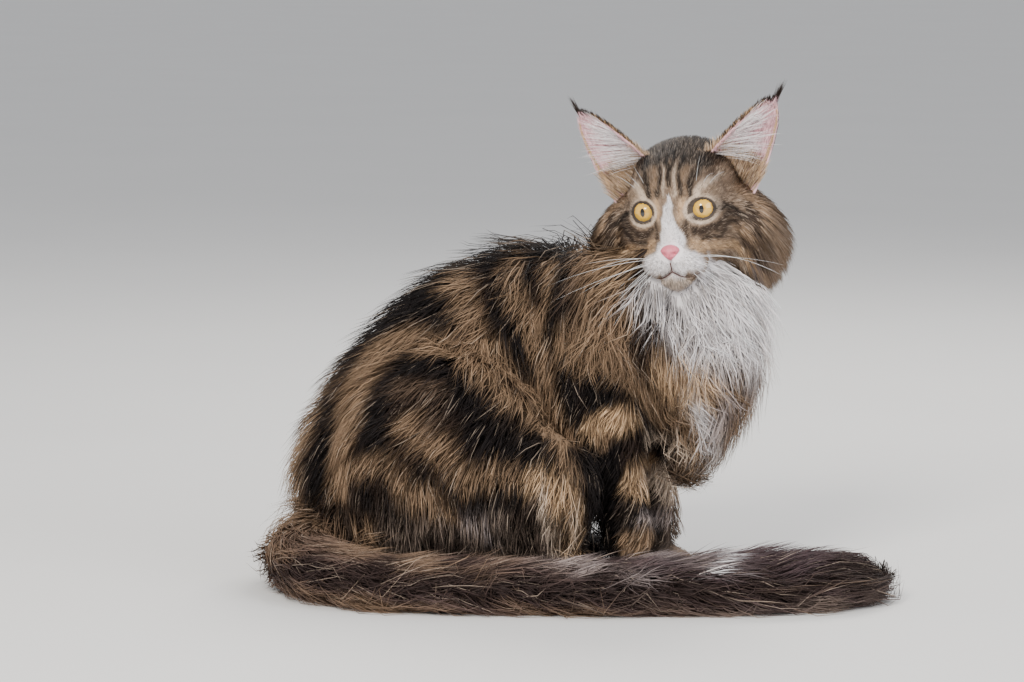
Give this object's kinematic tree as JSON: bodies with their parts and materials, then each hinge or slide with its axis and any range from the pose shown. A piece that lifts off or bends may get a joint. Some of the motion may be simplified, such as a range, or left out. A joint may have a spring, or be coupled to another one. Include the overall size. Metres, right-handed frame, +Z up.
{
  "type": "cat",
  "caption": "Life-size long-haired tabby cat sitting on its haunches, head turned to its right, bushy tail laid forward along its right side.",
  "frame": {"origin": "on the floor under the middle of the cat's bounding box", "axes": "+Z up; the hindquarters face -Y, with the cat's right side and the tail towards -X; the head looks towards -X"},
  "size_m": [0.36, 0.567, 0.4337],
  "materials": {
    "coat": "long soft fur, classic tabby in black-brown on tan",
    "ruff": "long soft fur, cream to grey-brown",
    "tail": "long loose fur, dark brown with paler tips",
    "ear": "thin skin with short fur behind and long pale hair inside",
    "eye": "wet golden eye with a dark slit",
    "nose": "damp pink skin"
  },
  "bodies": {
    "root": {"nose": "nose", "eye_left": "eye", "ear_left": "ear", "eye_right": "eye", "ear_right": "ear", "head": "coat", "neck": "ruff", "foreleg_left": "coat", "hind_leg_left": "coat", "foreleg_right": "coat", "hind_leg_right": "coat", "torso": "coat", "tail_1": "tail", "tail_2": "tail", "tail_3": "tail", "tail_4": "tail"}
  },
  "joints": []
}
